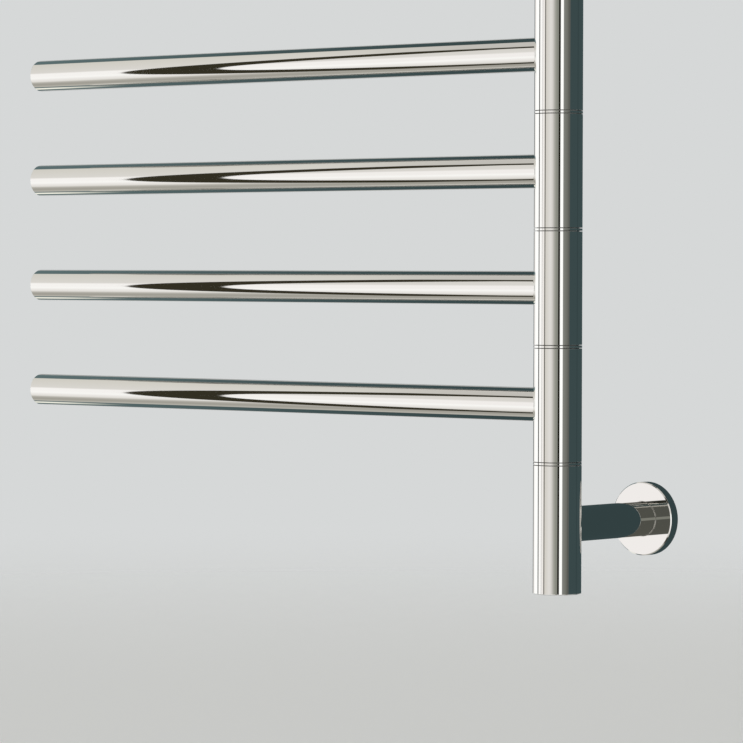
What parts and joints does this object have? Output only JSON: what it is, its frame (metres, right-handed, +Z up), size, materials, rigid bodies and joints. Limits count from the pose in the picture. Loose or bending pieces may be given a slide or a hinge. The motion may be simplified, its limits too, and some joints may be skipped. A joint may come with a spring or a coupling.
{
  "type": "towel warmer rack",
  "caption": "Wall-hung electric towel warmer: round polished-metal arms that swivel one by one on an upright column held off the wall by round brackets.",
  "frame": {"origin": "centre of the lower wall plate, on the wall face", "axes": "+Z up, +Y into the wall, +X along the wall to the right as seen from the room; at rest the arms point along -X"},
  "size_m": [0.6622, 0.1507, 0.623],
  "materials": {
    "polished_metal": "mirror-polished nickel, faint polishing lines",
    "inner_steel": "drawn steel tube, dull",
    "hardware_steel": "plated fixings",
    "heater_sheath": "annealed sheath, matt",
    "bush_plastic": "black bearing plastic",
    "terminal_plastic": "white heat-resistant plastic",
    "lead_silicone": "silicone-insulated lead",
    "earth_insulation": "green and yellow insulation",
    "earth_brass": "plain brass",
    "grommet_rubber": "soft black rubber"
  },
  "bodies": {
    "column": {"mast_tube": "inner_steel", "swivel_stop_pins": "hardware_steel", "lower_end_section": "polished_metal", "upper_end_section": "polished_metal", "lower_end_cap": "polished_metal", "upper_end_cap": "polished_metal", "spacer_ring_1": "polished_metal", "spacer_ring_2": "polished_metal", "spacer_ring_3": "polished_metal", "spacer_ring_4": "polished_metal", "spacer_ring_5": "polished_metal", "lower_bracket_tube": "polished_metal", "upper_bracket_tube": "polished_metal", "lower_bracket_saddle": "inner_steel", "upper_bracket_saddle": "inner_steel", "lower_wall_plate": "inner_steel", "upper_wall_plate": "inner_steel", "lower_rosette": "polished_metal", "upper_rosette": "polished_metal", "saddle_screws": "hardware_steel", "bracket_grub_screws": "hardware_steel", "junction_block": "terminal_plastic", "terminal_block": "terminal_plastic", "branch_lead_1": "lead_silicone", "branch_lead_2": "lead_silicone", "branch_lead_3": "lead_silicone", "branch_lead_4": "lead_silicone", "feed_lead": "lead_silicone", "earth_lead": "earth_insulation", "earth_screw": "earth_brass", "cable_grommet": "grommet_rubber"},
    "arm_1": {"arm_1_sleeve": "polished_metal", "arm_1_bar": "polished_metal", "arm_1_tip_cap": "polished_metal", "arm_1_lower_bush": "bush_plastic", "arm_1_upper_bush": "bush_plastic", "arm_1_heater": "heater_sheath", "arm_1_lead": "lead_silicone"},
    "arm_2": {"arm_2_sleeve": "polished_metal", "arm_2_bar": "polished_metal", "arm_2_tip_cap": "polished_metal", "arm_2_lower_bush": "bush_plastic", "arm_2_upper_bush": "bush_plastic", "arm_2_heater": "heater_sheath", "arm_2_lead": "lead_silicone"},
    "arm_3": {"arm_3_sleeve": "polished_metal", "arm_3_bar": "polished_metal", "arm_3_tip_cap": "polished_metal", "arm_3_lower_bush": "bush_plastic", "arm_3_upper_bush": "bush_plastic", "arm_3_heater": "heater_sheath", "arm_3_lead": "lead_silicone"},
    "arm_4": {"arm_4_sleeve": "polished_metal", "arm_4_bar": "polished_metal", "arm_4_tip_cap": "polished_metal", "arm_4_lower_bush": "bush_plastic", "arm_4_upper_bush": "bush_plastic", "arm_4_heater": "heater_sheath", "arm_4_lead": "lead_silicone"}
  },
  "joints": [
    {"name": "arm_1_swivel", "type": "hinge", "parent": "column", "child": "arm_1", "pos_m": [0, -0.13, 0.103], "axis": [0, 0, 1], "range_deg": [0, 180]},
    {"name": "arm_2_swivel", "type": "hinge", "parent": "column", "child": "arm_2", "pos_m": [0, -0.13, 0.203], "axis": [0, 0, 1], "range_deg": [0, 180]},
    {"name": "arm_3_swivel", "type": "hinge", "parent": "column", "child": "arm_3", "pos_m": [0, -0.13, 0.303], "axis": [0, 0, 1], "range_deg": [0, 180]},
    {"name": "arm_4_swivel", "type": "hinge", "parent": "column", "child": "arm_4", "pos_m": [0, -0.13, 0.403], "axis": [0, 0, 1], "range_deg": [0, 180]}
  ]
}
